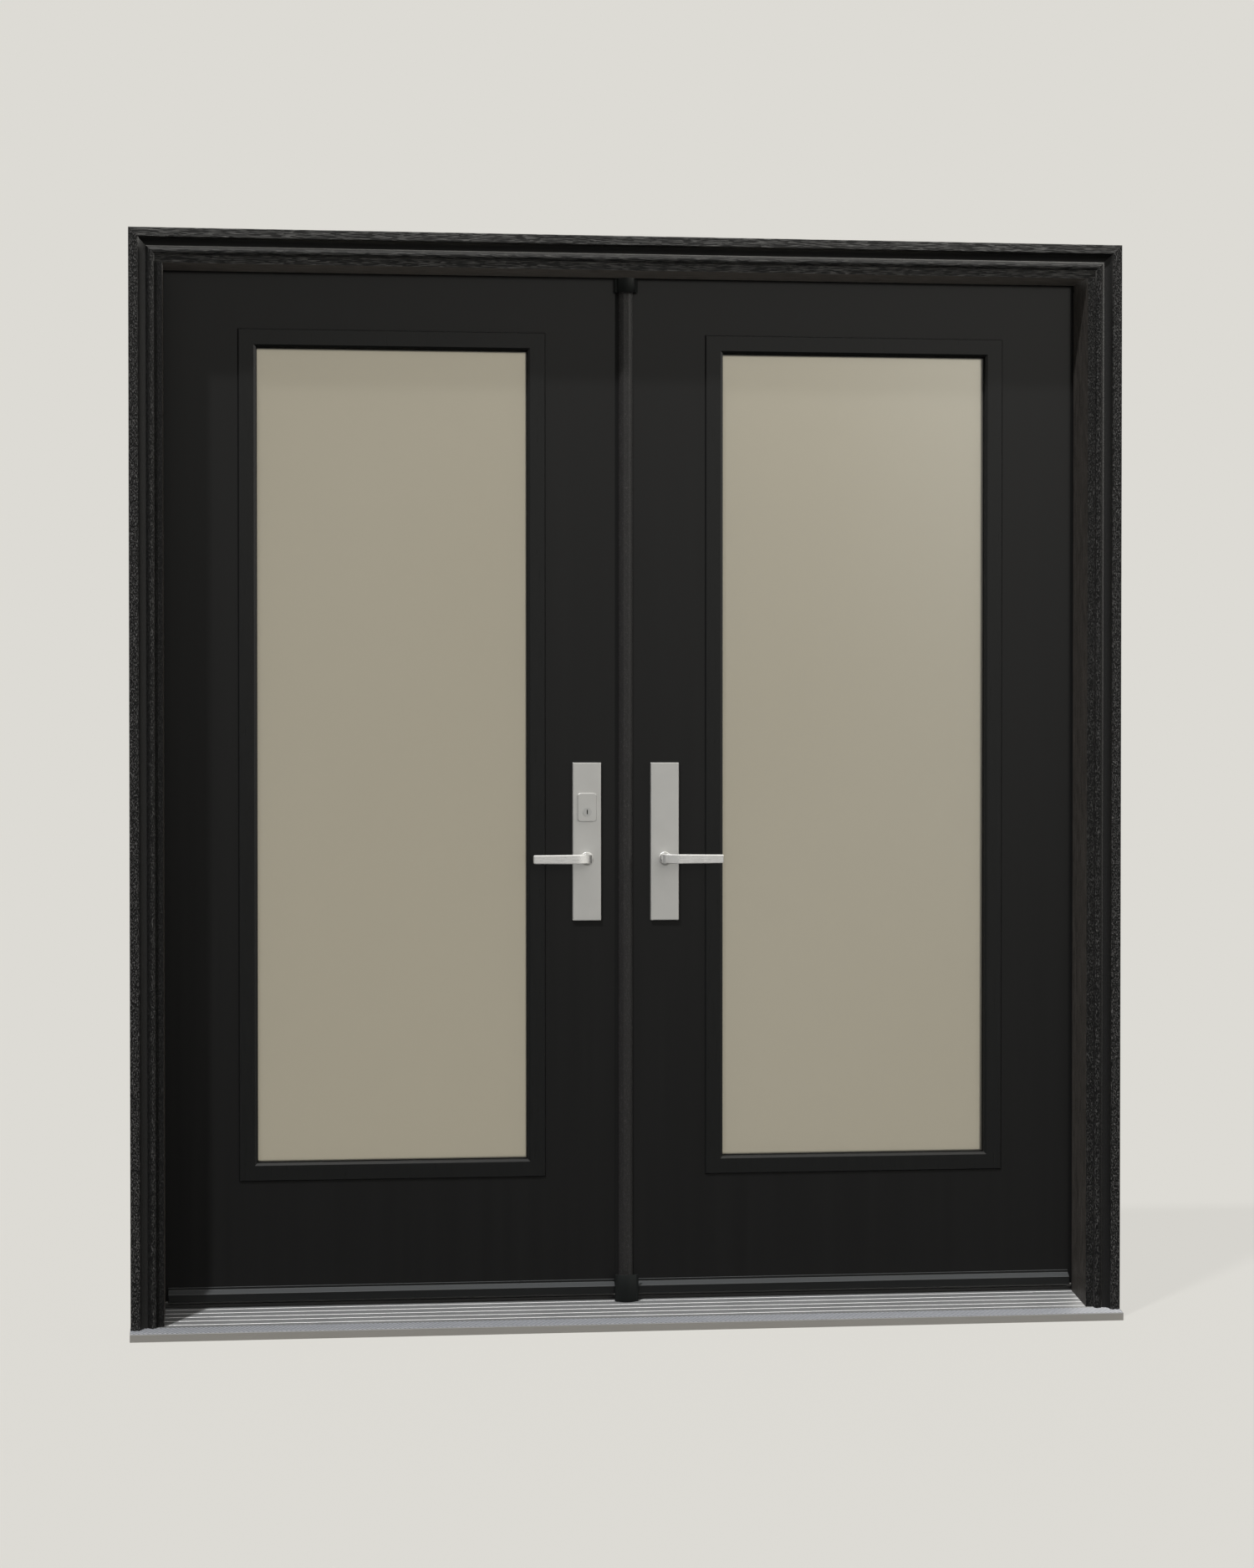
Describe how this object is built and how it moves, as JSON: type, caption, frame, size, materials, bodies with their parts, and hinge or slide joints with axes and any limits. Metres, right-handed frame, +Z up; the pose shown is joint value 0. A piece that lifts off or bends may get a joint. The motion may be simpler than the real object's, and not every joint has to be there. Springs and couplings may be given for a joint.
{
  "type": "inswing double entrance door",
  "caption": "Pair of black inswing entrance door leaves with tall frosted lites in a moulded frame on a sloping metal sill, with lever handles and a central astragal.",
  "frame": {"origin": "on the underside of the sill, midway between the jambs, in the plane of the leaves' outer faces", "axes": "+X along the wall to the right as seen from outside, +Y into the building, +Z up"},
  "size_m": [1.932, 0.2707, 2.1113],
  "materials": {
    "grained_black": "embossed grain, satin",
    "slab_black": "satin",
    "trim_black": "satin",
    "cap_black": "semi-gloss",
    "seal_rubber": "matt",
    "dark_aluminium": "dark anodised",
    "sill_aluminium": "mill, ribbed",
    "sill_substrate": "composite",
    "frosted_glass": "frosted",
    "satin_nickel": "satin",
    "lever_nickel": "satin",
    "hinge_steel": "satin"
  },
  "bodies": {
    "frame": {"sill_core": "sill_substrate", "sill_deck": "sill_aluminium", "threshold_riser": "dark_aluminium", "head_jamb": "grained_black", "left_jamb": "grained_black", "right_jamb": "grained_black", "brickmould_left": "grained_black", "brickmould_right": "grained_black", "brickmould_head": "grained_black", "seal_head": "seal_rubber", "seal_left": "seal_rubber", "seal_right": "seal_rubber", "jamb_hinges": "hinge_steel", "astragal_cap_top": "cap_black", "astragal_cap_bottom": "cap_black"},
    "left_leaf": {"left_slab": "slab_black", "left_lite_frame_outside": "trim_black", "left_lite_frame_inside": "trim_black", "left_glass": "frosted_glass", "left_drip_cap": "trim_black", "left_leaf_hinges": "hinge_steel", "left_plate_outside": "satin_nickel", "left_plate_inside": "satin_nickel", "keyed_pad": "satin_nickel", "lock_cylinder": "satin_nickel", "thumbturn": "satin_nickel", "lock_faceplate": "hinge_steel"},
    "right_leaf": {"right_slab": "slab_black", "right_lite_frame_outside": "trim_black", "right_lite_frame_inside": "trim_black", "right_glass": "frosted_glass", "right_drip_cap": "trim_black", "right_leaf_hinges": "hinge_steel", "right_plate_outside": "satin_nickel", "right_plate_inside": "satin_nickel", "astragal_moulding": "grained_black", "astragal_stem": "dark_aluminium", "centre_seal": "seal_rubber", "strike_plate": "hinge_steel"},
    "left_lever": {"left_lever_outside": "lever_nickel", "left_lever_inside": "lever_nickel", "left_spindle": "lever_nickel"},
    "right_lever": {"right_lever_outside": "lever_nickel", "right_lever_inside": "lever_nickel", "right_spindle": "lever_nickel"}
  },
  "joints": [
    {"name": "left_leaf_swing", "type": "hinge", "parent": "frame", "child": "left_leaf", "pos_m": [-0.9165, 0.0515, 0], "axis": [0, 0, 1], "range_deg": [0, 110]},
    {"name": "right_leaf_swing", "type": "hinge", "parent": "frame", "child": "right_leaf", "pos_m": [0.9165, 0.0515, 0], "axis": [0, 0, -1], "range_deg": [0, 110]},
    {"name": "left_lever_turn", "type": "hinge", "parent": "left_leaf", "child": "left_lever", "pos_m": [-0.0774, 0, 0.907], "axis": [0, -1, 0], "range_deg": [0, 45], "stiffness_Nm_per_rad": 1, "springref_deg": -34.38},
    {"name": "right_lever_turn", "type": "hinge", "parent": "right_leaf", "child": "right_lever", "pos_m": [0.0774, 0, 0.907], "axis": [0, 1, 0], "range_deg": [0, 45], "stiffness_Nm_per_rad": 1, "springref_deg": -34.38}
  ]
}
